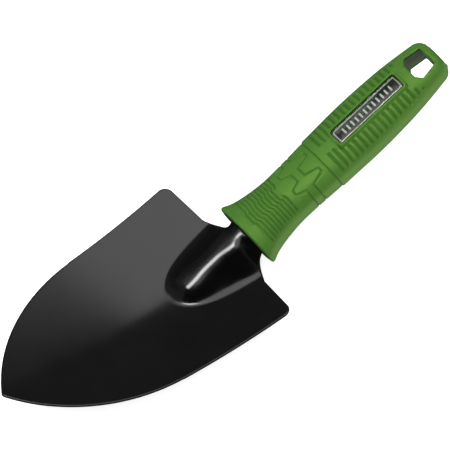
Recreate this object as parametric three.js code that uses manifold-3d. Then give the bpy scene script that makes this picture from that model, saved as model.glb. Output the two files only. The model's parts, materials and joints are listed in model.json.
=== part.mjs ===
// Hand trowel: a pressed steel blade with a two-shot plastic handle.
// Millimetres, +Z up.  The trowel lies at rest on its belly and the grip's lip, hollow side up, with the tip
// towards -X and the handle rising towards +X.  The origin is the centre of the bottom of its box.
//
// Every piece is drawn in the handle frame first: x runs along the handle's axis from the collar's
// front to the tail, y is across, z is up towards the hollow side of the blade.
import * as THREE from 'three';
import { mergeVertices } from 'three/addons/utils/BufferGeometryUtils.js';
import Module from 'manifold-3d';

// ---- driving dimensions -------------------------------------------------------------------------
const HANDLE_RISE = THREE.MathUtils.degToRad(19); // the handle's axis above the bench
const GAP = 0.3; // clearance between pieces that touch

// blade
const SHEET = 1.5; // thickness of the steel
const HEEL_X = -12; // where the blade's rear edge lies
const HEEL_Z = -3.9; // height of the dish's lowest line at the heel
const HEEL_SLOPE = 0.211; // slope of that line at the heel
const LENGTH_RADIUS = 289; // how the blade curls up along its length
const KEEL_SLOPE = 0.11; // each side of the blade rises from a soft crease along its middle
const KEEL_ROUND = 8; // half-width of the rounded part of the crease
const DISH_RADIUS = 330; // how the blade curls up across its width, beside the crease
const SIDE_LENGTH = 66; // straight part of each side edge
const HEEL_HALF_WIDTH = 52.9;
const SIDE_TAPER = 0.0686;
const POINT_RADIUS = 94.4; // the arcs that bring the sides to the point
const TIP_RADIUS = 2.2; // the point is rounded off
const SHOULDER_RADIUS = 5;
const REAR_EDGE = { outer: 48, inner: 25.7, from: 0, to: -0.8 }; // half-widths, distances ahead of the heel

// raised nose and neck
const NOSE_X = -56; // the nose's tip, where it grows out of the dish
const NOSE_LENGTH = 46;
const NOSE_HALF_WIDTH = 23.2;
const NOSE_PLAN_POWER = 0.56; // how blunt the nose is in plan
const NOSE_RISE_LENGTH = 12.5; // the crown climbs to its height over this length
const CROWN_Z = 11.3;
const CROWN_POWER = { middle: 2.15, neck: 2.55, tip: 2.6 }; // how flat the crown is from side to side
const CROWN_AT_NECK = { from: -22, to: -10 };
const CROWN_AT_TIP = { from: -44, to: -28 };
const FLANK_POWER = 2.7; // how softly the flanks run out into the dish
const NECK_RADIUS = 11.3; // outer radius of the half-round neck
const NECK_WALL = 4.5; // straight wall below the half-round
const NECK_FILLET_POWER = 1.25; // exponent of the curve from the rear edge round to the neck

// tang inside the handle
const TANG_END = 66;
const TANG_RADIUS = 7.4;
const TANG_TAPER = { from: -12, to: 22 }; // where the neck draws in to the tang
const NECK_BLEND = { from: HEEL_X, to: -2.6 }; // where the blade's section turns into the neck's
const CAVITY_X = -5; // the cavity for the tang is cut from here, ahead of the handle
const LOCK_HOLE_X = 48;
const LOCK_HOLE_RADIUS = 3;
const LOCK_HOLE_TOP = 14; // the pin that cuts the hole reaches from the tang's middle to this height

// handle
const HANDLE_LENGTH = 137.2;
const COLLAR_X = -1.55; // the core's front face
const LIP_X = -1.25; // where the green lip starts
const SKIN = 2.2; // thickness of the green overmould
const SECTION_POWER = 2.2; // superellipse exponent of the handle's section
const TAIL_LENGTH = 6; // rounded part of the tail
const TAIL_ROUND = { across: 6, up: 3.6 };
// half-width and half-thickness where the outline changes: lip, flare, waist, palm swell, tail
const HALF_WIDTHS = [[-1.4, 20.2], [0.3, 20.9], [5.4, 18.5], [15.2, 16.2], [27.4, 15.1], [43.7, 15.8],
  [61, 17.0], [81.4, 17.6], [99.7, 17.1], [114, 16.0], [130.2, 13.8], [HANDLE_LENGTH, 12.6]];
const HALF_HEIGHTS = [[-1.4, 12.9], [0.3, 13.4], [5.4, 12.5], [27.4, 11.3], [52.9, 10.6], [81.4, 10.2],
  [112, 9.3], [130.2, 8.5], [HANDLE_LENGTH, 8.2]];
const UNDERSIDE = 11.7; // the underside stays this close to the axis, so that the lip lies flat on the bench
const LIP_STATIONS = [0.3, 1.6, 3.4, 5.4]; // rings drawn close together over the lip's flare

// hang hole: a hexagon through the tail, a little wider at both faces than in the middle
const HOLE = { front: 120.5, wide: 122.9, rear: 132.4, frontHalf: 4.6, wideHalf: 7.7, rearHalf: 6.1 };
const HOLE_DRAFT = 0.05; // growth of the outline per millimetre of height from the middle
const HOLE_REACH = 14; // half-height of the cut

// badge
const BADGE_X = 90.1;
const BADGE_LENGTH = 45.0;
const BADGE_WIDTH = 9.1;
const BADGE_CORNER = 1.2;
const BADGE_PITCH = THREE.MathUtils.degToRad(1.5); // the top of the handle falls towards the tail
const FRAME_MARGIN = 1.5; // raised frame round the badge
const FRAME_TOP = 10.9; // height of the frame above the handle's axis, at the badge's middle
const SEAT_DEPTH = 2.4; // from the frame's top to the seat of the label
const SEAT_MARGIN = 0.2; // the seat is a little larger than the label
const LABEL_THICKNESS = 0.5;
const DOME_THICKNESS = 1.0;
const DOME_ROLL = 0.45; // radius of the dome's rounded edges
const BLOCK_DEPTH = { core: 6, frame: 4, window: 6 }; // how deep each block under the badge reaches
const WINDOW_TOP = -1; // the window's cut ends this far above the frame

// mesh steps
const RING_STEPS = 28;
const HANDLE_STEP = 6;
const SHEET_COLUMNS = 18;
const ARC_STEPS = 2; // per round corner of the badge
const PIN_SIDES = 20;
const OUTLINE_SAMPLES = 400;
const TAIL_TURNS = [30, 55, 75, 90]; // degrees round the tail's rounded edge
const TIP_TURNS = [20, 45, 70]; // degrees round the blade's tip
const SECTIONS = { blade: 10, nose: 6, crown: 6, shoulder: 4, neck: 8, taper: 6, cavity: 3 };
const NORMAL_STEP = 1e-3; // step used to work out the surface's direction
const WELD = 1e-5; // points closer than this are one

// ---- solids -------------------------------------------------------------------------------------
const wasm = await Module();
wasm.setup();

function toSolid(geometry) {
  const bare = geometry.clone();
  bare.deleteAttribute('normal');
  bare.deleteAttribute('uv');
  const merged = mergeVertices(bare, WELD);
  return new wasm.Manifold(new wasm.Mesh({
    numProp: 3,
    vertProperties: new Float32Array(merged.attributes.position.array),
    triVerts: new Uint32Array(merged.index.array),
  }));
}

function toGeometry(solid) {
  const mesh = solid.getMesh();
  const geometry = new THREE.BufferGeometry();
  geometry.setAttribute('position', new THREE.BufferAttribute(new Float32Array(mesh.vertProperties), 3));
  geometry.setIndex(new THREE.BufferAttribute(new Uint32Array(mesh.triVerts), 1));
  geometry.computeVertexNormals();
  return geometry;
}

// A closed skin over rings of equal length.  Each ring runs anticlockwise seen from the last ring's
// side, and a fan closes each end.
function loft(rings) {
  const count = rings[0].length;
  const points = rings.flat();
  const index = [];
  for (let r = 0; r + 1 < rings.length; r += 1) {
    for (let i = 0; i < count; i += 1) {
      const a = r * count + i;
      const b = r * count + ((i + 1) % count);
      index.push(a, b, b + count, a, b + count, a + count);
    }
  }
  const last = (rings.length - 1) * count;
  for (const [start, flip] of [[0, true], [last, false]]) {
    const centre = new THREE.Vector3();
    for (let i = 0; i < count; i += 1) centre.addScaledVector(points[start + i], 1 / count);
    points.push(centre);
    const hub = points.length - 1;
    for (let i = 0; i < count; i += 1) {
      const a = start + i;
      const b = start + ((i + 1) % count);
      index.push(...(flip ? [hub, b, a] : [hub, a, b]));
    }
  }
  const geometry = new THREE.BufferGeometry().setFromPoints(points);
  geometry.setIndex(index);
  return geometry;
}

const smoothstep = THREE.MathUtils.smoothstep;
const lerp = THREE.MathUtils.lerp;

// ---- blade --------------------------------------------------------------------------------------
// distance of x ahead of the heel, towards the tip
const aheadOfHeel = (x) => HEEL_X - x;

// the arc that brings a side to the point, and the small arc that rounds the point off
const pointArc = {
  s: SIDE_LENGTH - POINT_RADIUS * SIDE_TAPER,
  y: HEEL_HALF_WIDTH - SIDE_TAPER * SIDE_LENGTH - POINT_RADIUS,
};
const tipArc = { s: pointArc.s + Math.sqrt((POINT_RADIUS - TIP_RADIUS) ** 2 - pointArc.y ** 2) };
tipArc.join = tipArc.s + TIP_RADIUS * Math.cos(Math.atan2(-pointArc.y, tipArc.s - pointArc.s));
const BLADE_LENGTH = tipArc.s + TIP_RADIUS; // heel to tip, along x

// half-width of the blade's outline in plan
function planHalfWidth(x) {
  const s = aheadOfHeel(x);
  if (s >= tipArc.join) return Math.sqrt(Math.max(0, TIP_RADIUS ** 2 - (s - tipArc.s) ** 2));
  if (s >= SIDE_LENGTH) return pointArc.y + Math.sqrt(POINT_RADIUS ** 2 - (s - pointArc.s) ** 2);
  const side = HEEL_HALF_WIDTH - SIDE_TAPER * s;
  if (s >= REAR_EDGE.from + SHOULDER_RADIUS) return side;
  if (s >= REAR_EDGE.from) {
    const inset = SHOULDER_RADIUS - (s - REAR_EDGE.from);
    return side - SHOULDER_RADIUS + Math.sqrt(SHOULDER_RADIUS ** 2 - inset ** 2);
  }
  if (s >= REAR_EDGE.to) {
    return THREE.MathUtils.mapLinear(s, REAR_EDGE.from, REAR_EDGE.to, REAR_EDGE.outer, REAR_EDGE.inner);
  }
  // hollow curve from the rear edge round to the neck's side
  const along = Math.min(1, (REAR_EDGE.to - s) / (REAR_EDGE.to - HEEL_X));
  const reach = (1 - (1 - along) ** NECK_FILLET_POWER) ** (1 / NECK_FILLET_POWER);
  return lerp(REAR_EDGE.inner, NECK_RADIUS, reach);
}

// lowest line of the dish, along the blade
function spineZ(x) {
  const s = aheadOfHeel(x);
  const curl = s > 0 ? (s * s) / (2 * LENGTH_RADIUS) : 0;
  return HEEL_Z + HEEL_SLOPE * s + curl;
}

// how flat the crown is across at x: flattest next to the neck and at the tip
function crownPower(x) {
  const neck = smoothstep(x, CROWN_AT_NECK.from, CROWN_AT_NECK.to);
  const tip = 1 - smoothstep(x, CROWN_AT_TIP.from, CROWN_AT_TIP.to);
  const { middle } = CROWN_POWER;
  return middle + (CROWN_POWER.neck - middle) * neck + (CROWN_POWER.tip - middle) * tip;
}

// height of the dish with the raised nose on it
function bladeZ(x, y) {
  const keel = KEEL_SLOPE * (Math.hypot(y, KEEL_ROUND) - KEEL_ROUND);
  const dish = spineZ(x) + keel + (y * y) / (2 * DISH_RADIUS);
  const q = THREE.MathUtils.clamp((x - NOSE_X) / NOSE_LENGTH, 0, 1);
  if (q === 0) return dish;
  const halfWidth = NOSE_HALF_WIDTH * (1 - (1 - q) ** 2) ** NOSE_PLAN_POWER;
  const across = Math.min(1, Math.abs(y) / halfWidth);
  const rise = (CROWN_Z - spineZ(x)) * smoothstep(x, NOSE_X, NOSE_X + NOSE_RISE_LENGTH);
  return dish + rise * (1 - across ** crownPower(x)) ** FLANK_POWER;
}

// the neck and tang's half-round section, as a point part t of the way down from its crown
function channelPoint(radius, wall, t) {
  const arc = (radius * Math.PI) / 2;
  const run = Math.abs(t) * (arc + wall);
  if (run <= arc) {
    const turn = run / radius;
    return [Math.sign(t) * radius * Math.sin(turn), radius * Math.cos(turn)];
  }
  return [Math.sign(t) * radius, arc - run];
}

function channelRadius(x) {
  return lerp(NECK_RADIUS, TANG_RADIUS, smoothstep(x, TANG_TAPER.from, TANG_TAPER.to));
}

// upper surface of the pressing: t runs from -1 at the right edge to 1 at the left edge
function pressingPoint(x, t) {
  const y = planHalfWidth(x) * t;
  const flat = [y, bladeZ(x, y)];
  const blend = smoothstep(x, NECK_BLEND.from, NECK_BLEND.to);
  if (blend === 0) return new THREE.Vector3(x, flat[0], flat[1]);
  const channel = channelPoint(channelRadius(x), NECK_WALL, t);
  return new THREE.Vector3(x, lerp(flat[0], channel[0], blend * blend), lerp(flat[1], channel[1], blend));
}

function pressingNormal(x, t) {
  const alongX = pressingPoint(x + NORMAL_STEP, t).sub(pressingPoint(x - NORMAL_STEP, t));
  const alongT = pressingPoint(x, t + NORMAL_STEP).sub(pressingPoint(x, t - NORMAL_STEP));
  return alongX.cross(alongT).normalize();
}

// The sheet as a closed solid over its stations, grown by a margin on all faces.  From its crown to
// its edge the channel measures about twice its radius.
function pressing(stations, margin = 0) {
  const rings = stations.map((x) => {
    const upper = [];
    const lower = [];
    for (let i = 0; i <= SHEET_COLUMNS; i += 1) {
      const t = Math.sin((Math.PI / 2) * ((2 * i) / SHEET_COLUMNS - 1));
      const reach = t * (1 + margin / (channelRadius(x) * 2));
      const normal = pressingNormal(x, t);
      const point = pressingPoint(x, margin > 0 ? reach : t);
      upper.push(point.clone().addScaledVector(normal, margin));
      lower.push(point.clone().addScaledVector(normal, -SHEET - margin));
    }
    return [...lower, ...upper.reverse()];
  });
  return toSolid(loft(rings));
}

function steps(from, to, count) {
  return Array.from({ length: count }, (_, i) => from + ((to - from) * i) / count);
}

function makeBlade() {
  const tip = HEEL_X - BLADE_LENGTH;
  const stations = [
    ...TIP_TURNS.map((turn) => tip + TIP_RADIUS * (1 - Math.cos(THREE.MathUtils.degToRad(turn)))),
    ...steps(tip + TIP_RADIUS, NOSE_X, SECTIONS.blade),
    ...steps(NOSE_X, NOSE_X + NOSE_RISE_LENGTH, SECTIONS.nose),
    ...steps(NOSE_X + NOSE_RISE_LENGTH, HEEL_X - SHOULDER_RADIUS - REAR_EDGE.from, SECTIONS.crown),
    ...steps(HEEL_X - SHOULDER_RADIUS - REAR_EDGE.from, HEEL_X - REAR_EDGE.from, SECTIONS.shoulder),
    ...steps(HEEL_X - REAR_EDGE.from, NECK_BLEND.to, SECTIONS.neck),
    ...steps(NECK_BLEND.to, TANG_TAPER.to, SECTIONS.taper),
    TANG_TAPER.to,
    TANG_END,
  ];
  return pressing(stations).subtract(lockPin(LOCK_HOLE_RADIUS));
}

// a vertical pin through the tang's crown
function lockPin(radius) {
  const pin = new THREE.CylinderGeometry(radius, radius, LOCK_HOLE_TOP, PIN_SIDES);
  pin.rotateX(Math.PI / 2);
  pin.translate(LOCK_HOLE_X, 0, LOCK_HOLE_TOP / 2);
  return toSolid(pin);
}

// ---- handle -------------------------------------------------------------------------------------
function outline(points) {
  const curve = new THREE.SplineCurve(points.map(([x, r]) => new THREE.Vector2(x, r)));
  const samples = curve.getPoints(OUTLINE_SAMPLES);
  return (x) => {
    const after = samples.findIndex((p) => p.x >= x);
    if (after <= 0) return after === 0 ? samples[0].y : samples[samples.length - 1].y;
    const [a, b] = [samples[after - 1], samples[after]];
    return THREE.MathUtils.mapLinear(x, a.x, b.x, a.y, b.y);
  };
}
const halfWidthAt = outline(HALF_WIDTHS);
const halfHeightAt = outline(HALF_HEIGHTS);

// One ring of the handle's skin, moved inwards by an inset.
function handleRing(x, inset) {
  const q = Math.max(0, (x - (HANDLE_LENGTH - inset - TAIL_LENGTH)) / TAIL_LENGTH);
  const fall = 1 - Math.sqrt(Math.max(0, 1 - q * q));
  const a = halfWidthAt(x) - inset - TAIL_ROUND.across * fall;
  const b = halfHeightAt(x) - inset - TAIL_ROUND.up * fall;
  const ring = [];
  for (let i = 0; i < RING_STEPS; i += 1) {
    const angle = (2 * Math.PI * i) / RING_STEPS;
    const c = Math.cos(angle);
    const s = Math.sin(angle);
    const y = a * Math.sign(c) * Math.abs(c) ** (2 / SECTION_POWER);
    const reach = s < 0 ? Math.min(b, UNDERSIDE - inset) : b;
    const z = reach * Math.sign(s) * Math.abs(s) ** (2 / SECTION_POWER);
    ring.push(new THREE.Vector3(x, y, z));
  }
  return ring;
}

function handleBody(inset, from) {
  const end = HANDLE_LENGTH - inset;
  const tailStart = end - TAIL_LENGTH;
  const stations = [from, ...LIP_STATIONS];
  const first = stations[stations.length - 1];
  const count = Math.round((tailStart - first) / HANDLE_STEP);
  for (let i = 1; i <= count; i += 1) stations.push(first + ((tailStart - first) * i) / count);
  for (const turn of TAIL_TURNS) {
    stations.push(tailStart + TAIL_LENGTH * Math.sin(THREE.MathUtils.degToRad(turn)));
  }
  return toSolid(loft(stations.map((x) => handleRing(x, inset))));
}

// the hang hole's outline at one height, grown by a margin
function holeRing(z, margin) {
  const corners = [
    [HOLE.front - margin, HOLE.frontHalf + margin / 2],
    [HOLE.wide - margin / 2, HOLE.wideHalf + margin],
    [HOLE.rear + margin, HOLE.rearHalf + margin],
  ];
  const left = corners.map(([x, y]) => new THREE.Vector3(x, y, z));
  const right = corners.map(([x, y]) => new THREE.Vector3(x, -y, z)).reverse();
  return [...left, ...right].reverse();
}

function hangHole() {
  const flare = HOLE_DRAFT * HOLE_REACH;
  return toSolid(loft([holeRing(-HOLE_REACH, flare), holeRing(0, 0), holeRing(HOLE_REACH, flare)]));
}

// a rectangle with round corners, centred on the origin
function roundedRectangle(length, width, corner) {
  const shape = new THREE.Shape();
  const x = length / 2 - corner;
  const y = width / 2 - corner;
  shape.absarc(x, y, corner, 0, Math.PI / 2);
  shape.absarc(-x, y, corner, Math.PI / 2, Math.PI);
  shape.absarc(-x, -y, corner, Math.PI, 1.5 * Math.PI);
  shape.absarc(x, -y, corner, 1.5 * Math.PI, 2 * Math.PI);
  return shape;
}

function roundedPlate(length, width, thickness, corner) {
  const shape = roundedRectangle(length, width, corner);
  return new THREE.ExtrudeGeometry(shape, {
    depth: thickness,
    bevelEnabled: false,
    curveSegments: ARC_STEPS,
  });
}

// Moves a plate lying on z = 0 to a height below the frame's top, on the badge's pitched plane.
function onBadgePlane(geometry, below) {
  geometry.translate(0, 0, -below);
  geometry.rotateY(BADGE_PITCH);
  geometry.translate(BADGE_X, 0, FRAME_TOP);
  return geometry;
}

// A block under, at or above the badge: grown past its outline, from one depth up to another.
function badgeBlock(grow, from, to) {
  const length = BADGE_LENGTH + 2 * grow;
  const plate = roundedPlate(length, BADGE_WIDTH + 2 * grow, from - to, BADGE_CORNER + grow);
  return toSolid(onBadgePlane(plate, from));
}

// the tang's own shape grown by the gap, with the plug left standing that fills its locking hole
function tangCavity() {
  const stations = [
    ...steps(CAVITY_X, NECK_BLEND.to, SECTIONS.cavity),
    ...steps(NECK_BLEND.to, TANG_TAPER.to, SECTIONS.taper),
    TANG_TAPER.to,
    TANG_END + GAP,
  ];
  return pressing(stations, GAP).subtract(lockPin(LOCK_HOLE_RADIUS - GAP));
}

function makeCore() {
  const seat = badgeBlock(SEAT_MARGIN, BLOCK_DEPTH.core, SEAT_DEPTH);
  const body = handleBody(SKIN, COLLAR_X).add(seat);
  const roomForLabel = badgeBlock(SEAT_MARGIN, SEAT_DEPTH, 0);
  return body.subtract(roomForLabel).subtract(tangCavity()).subtract(hangHole());
}

function makeSleeve() {
  const frame = badgeBlock(FRAME_MARGIN, BLOCK_DEPTH.frame, 0);
  const skin = handleBody(0, LIP_X).add(frame);
  const bore = handleBody(SKIN - GAP, COLLAR_X);
  const window = badgeBlock(SEAT_MARGIN + GAP, BLOCK_DEPTH.window, WINDOW_TOP);
  return skin.subtract(bore).subtract(hangHole()).subtract(window);
}

// the clear lens: a thin plate whose edge rolls over to a flat top
function makeDome() {
  const length = BADGE_LENGTH - 2 * DOME_ROLL;
  const shape = roundedRectangle(length, BADGE_WIDTH - 2 * DOME_ROLL, BADGE_CORNER - DOME_ROLL);
  return new THREE.ExtrudeGeometry(shape, {
    depth: DOME_THICKNESS - 2 * DOME_ROLL,
    bevelThickness: DOME_ROLL,
    bevelSize: DOME_ROLL,
    bevelSegments: ARC_STEPS,
    curveSegments: ARC_STEPS,
  }).translate(0, 0, DOME_ROLL);
}

// ---- assembly -----------------------------------------------------------------------------------
function piece(name, geometry, color, roughness, metalness) {
  const material = new THREE.MeshStandardMaterial({ color, roughness, metalness });
  const mesh = new THREE.Mesh(geometry, material);
  mesh.name = name;
  return mesh;
}

const trowel = new THREE.Group();
trowel.add(piece('blade', toGeometry(makeBlade()), 0x1b1b1c, 0.35, 0.3));
trowel.add(piece('handle_core', toGeometry(makeCore()), 0x2c3028, 0.5, 0));
trowel.add(piece('grip_sleeve', toGeometry(makeSleeve()), 0x3c6327, 0.6, 0));
const label = onBadgePlane(roundedPlate(BADGE_LENGTH, BADGE_WIDTH, LABEL_THICKNESS, BADGE_CORNER),
  SEAT_DEPTH - GAP);
trowel.add(piece('badge_label', label, 0x15170f, 0.3, 0));
const dome = onBadgePlane(makeDome(), SEAT_DEPTH - GAP - LABEL_THICKNESS - GAP);
trowel.add(piece('badge_dome', dome, 0x20221f, 0.05, 0));
trowel.rotation.y = -HANDLE_RISE;

// stand the trowel on z = 0 with its box centred on the origin
const part = new THREE.Group();
part.add(trowel);
part.updateMatrixWorld(true);
const box = new THREE.Box3().setFromObject(part, true);
const middle = box.getCenter(new THREE.Vector3());
trowel.position.set(-middle.x, -middle.y, -box.min.z);

export default part;
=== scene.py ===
"""Hand trowel: a pressed steel blade and a two-shot plastic handle, lying on a pale floor.

Shapes are worked out in millimetres in the handle frame, as the CAD model is: x runs along the
handle's axis towards the tail, y is across, z is up towards the hollow side.
"""
import json
import math

import bmesh
import bpy
import numpy as np
from mathutils import Matrix, Vector


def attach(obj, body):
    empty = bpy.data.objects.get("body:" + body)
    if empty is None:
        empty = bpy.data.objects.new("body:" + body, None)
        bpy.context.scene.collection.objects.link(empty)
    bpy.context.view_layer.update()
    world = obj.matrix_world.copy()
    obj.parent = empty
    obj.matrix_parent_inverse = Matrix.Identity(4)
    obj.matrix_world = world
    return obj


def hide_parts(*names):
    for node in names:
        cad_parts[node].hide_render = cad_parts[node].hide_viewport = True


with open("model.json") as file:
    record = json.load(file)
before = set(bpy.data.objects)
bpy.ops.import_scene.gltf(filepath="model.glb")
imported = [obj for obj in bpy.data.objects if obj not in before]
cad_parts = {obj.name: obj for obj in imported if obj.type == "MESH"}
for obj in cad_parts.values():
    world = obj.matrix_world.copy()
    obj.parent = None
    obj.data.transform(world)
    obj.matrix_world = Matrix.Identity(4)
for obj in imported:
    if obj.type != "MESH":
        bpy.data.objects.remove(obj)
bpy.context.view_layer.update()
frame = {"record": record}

MM = 0.001
GAP = 0.3  # clearance between pieces that touch
TINY = 1e-12  # the shortest length that a direction is worked out from
NUDGE = 1e-9  # keeps a section's direction clear of zero where it ends in a point
WELD = 1e-9  # points closer than this are one point, in metres
CREASE = {"blade": 50, "core": 30, "sleeve": 48, "badge": 40}  # sharper edges than this show, in degrees
CUT_REACH = 14  # how far the cutting shapes reach above and below the handle's axis

# ---- the handle frame, from the collar's mount --------
collar = next(m for m in frame["record"]["mounts"] if m["name"] == "collar_front_face")
HANDLE_AXIS = -Vector(collar["axis"])
HANDLE_UP = Vector((-HANDLE_AXIS.z, 0, HANDLE_AXIS.x))
HANDLE_AXES = np.array([HANDLE_AXIS, (0, 1, 0), HANDLE_UP])
COLLAR_X = -1.55  # the core's front face, in mm along the handle's axis
HANDLE_ORIGIN = Vector((collar["pos_m"][0], 0, collar["pos_m"][2])) - HANDLE_AXIS * COLLAR_X * MM


def to_row(points):
    """Points in the handle frame, in mm, as points in the row frame, in metres."""
    return np.asarray(points, float) @ HANDLE_AXES * MM + np.array(HANDLE_ORIGIN)


def to_handle(obj):
    """An object's points in the handle frame, in mm, as arrays of x, y and z."""
    row = np.empty(len(obj.data.vertices) * 3)
    obj.data.vertices.foreach_get("co", row)
    return ((row.reshape(-1, 3) - np.array(HANDLE_ORIGIN)) / MM @ HANDLE_AXES.T).T


def paint(obj, name, values):
    """Stores one value per point of the mesh, for the material to read."""
    attribute = obj.data.attributes.new(name, "FLOAT", "POINT")
    attribute.data.foreach_set("value", np.asarray(values, np.float32))


# ---- small helpers --------
def smoothstep(x, low, high):
    t = np.clip((x - low) / (high - low), 0, 1)
    return t * t * (3 - 2 * t)


def smootherstep(x, low, high):
    t = np.clip((x - low) / (high - low), 0, 1)
    return t ** 3 * (10 - 15 * t + 6 * t ** 2)


def lerp(a, b, t):
    return a + (b - a) * t


def smooth_max(a, b, width):
    """The larger of two, rounded over where they are within width of each other."""
    mix = np.maximum(width - np.abs(a - b), 0)
    return np.maximum(a, b) + mix * mix / (4 * width)


def unit(v):
    return v / np.maximum(np.linalg.norm(v, axis=-1, keepdims=True), TINY)


def steps(start, stop, pitch):
    """Evenly spaced values from start up to, but not including, stop."""
    count = max(1, round(abs(stop - start) / pitch))
    return np.linspace(start, stop, count, endpoint=False)


def mesh_object(name, points, faces):
    mesh = bpy.data.meshes.new(name)
    mesh.from_pydata([tuple(p) for p in to_row(points)], [], faces)
    mesh.update()
    obj = bpy.data.objects.new(name, mesh)
    bpy.context.scene.collection.objects.link(obj)
    return obj


def loft(rings):
    """A closed skin over rings of equal length, as points and faces; the end rings are filled."""
    rings = np.asarray(rings, float)
    count, size = rings.shape[:2]
    faces = []
    for r in range(count - 1):
        a = r * size + np.arange(size)
        b = r * size + (np.arange(size) + 1) % size
        faces += np.stack([a, b, b + size, a + size], axis=1).tolist()
    faces.append(list(range(size))[::-1])
    faces.append(list(range((count - 1) * size, count * size)))
    return rings.reshape(-1, 3), faces


def clean(obj, distance):
    """Welds doubled points, drops faces with no area and turns all faces outwards."""
    bm = bmesh.new()
    bm.from_mesh(obj.data)
    bmesh.ops.remove_doubles(bm, verts=bm.verts, dist=distance)
    bmesh.ops.dissolve_degenerate(bm, edges=bm.edges, dist=distance)
    bmesh.ops.recalc_face_normals(bm, faces=bm.faces)
    if bm.calc_volume(signed=True) < 0:
        bmesh.ops.reverse_faces(bm, faces=bm.faces)
    bm.to_mesh(obj.data)
    bm.free()
    return obj


def solid(name, rings, weld=WELD):
    return clean(mesh_object(name, *loft(rings)), weld)


def boolean(obj, tool, operation="DIFFERENCE"):
    """Cuts tool away from obj or joins it on, and removes tool."""
    modifier = obj.modifiers.new("cut", "BOOLEAN")
    modifier.operation = operation
    modifier.solver = "MANIFOLD"
    modifier.object = tool
    evaluated = obj.evaluated_get(bpy.context.evaluated_depsgraph_get())
    mesh = bpy.data.meshes.new_from_object(evaluated)
    obj.modifiers.clear()
    old = obj.data
    obj.data = mesh
    mesh.name = old.name
    bpy.data.meshes.remove(old)
    bpy.data.objects.remove(tool)
    return obj


def shade_by_angle(obj, degrees):
    """Smooth shading, with a crease wherever two faces meet at more than the angle."""
    mesh = obj.data
    mesh.polygons.foreach_set("use_smooth", [True] * len(mesh.polygons))
    bm = bmesh.new()
    bm.from_mesh(mesh)
    limit = math.radians(degrees)
    for edge in bm.edges:
        edge.smooth = len(edge.link_faces) == 2 and edge.calc_face_angle() < limit
    bm.to_mesh(mesh)
    bm.free()


# ---- blade --------
SHEET = 1.48  # a touch under the model's 1.5, so that the smooth underside stays inside its box
EDGE_RADIUS = SHEET / 2
HEEL_X = -12
HEEL_Z = -3.9
HEEL_SLOPE = 0.211
LENGTH_RADIUS = 289
KEEL_SLOPE = 0.11  # each side of the blade rises from a soft crease along its middle
KEEL_ROUND = 8
DISH_RADIUS = 330
SIDE_LENGTH = 66
HEEL_HALF_WIDTH = 52.9
SIDE_TAPER = 0.0686
POINT_RADIUS = 94.4
TIP_RADIUS = 2.2
SHOULDER_RADIUS = 5
REAR_EDGE = {"inner": 25.7, "from": 0.0, "to": -0.8}  # inner half-width, and how far it leans forward
OUTLINE_STEPS = {"tip": 12, "point": 64, "shoulder": 12, "rear": 14, "fillet": 30}
OUTLINE_PITCH = 0.8
FILLET_START = 0.03  # radians; at 0 the fillet's outline has no clear direction

NOSE_X = -56  # the raised nose's tip, where it grows out of the dish
NOSE_LENGTH = 46
NOSE_HALF_WIDTH = 23.2
NOSE_PLAN_POWER = 0.56
NOSE_RISE_LENGTH = 12.5
NOSE_RISE_POWER = 1.35  # how gently the crown starts to climb
CROWN_Z = 11.3
CROWN_POWER = {"middle": 2.15, "neck": 2.55, "tip": 2.6}  # how flat the crown is from side to side
CROWN_NEAR_NECK = (-22, -10)
CROWN_NEAR_TIP = (-44, -28)
NOSE_FLOOR = 1e-6  # keeps the nose's half-width above zero ahead of its tip
FLANK_POWER = 2.7

NECK_RADIUS = 11.3
NECK_WALL = 4.5
NECK_START = 0.6  # the blade's section has turned into the neck's here
NECK_FILLET_POWER = 1.25  # exponent of the curve from the rear edge round to the neck

TANG_END = 66
TANG_RADIUS = 7.4
TANG_TAPER = (-3, 5)
TANG_PITCH = 4
TANG_FINE_END = 16  # rows stand closer together ahead of this
LOCK_HOLE_X = 48
LOCK_HOLE_RADIUS = 3

BLADE_COLUMNS = 120
BLADE_WELD = 2e-6
EDGE_STEPS = 6
NORMAL_STEP = 0.02


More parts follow.
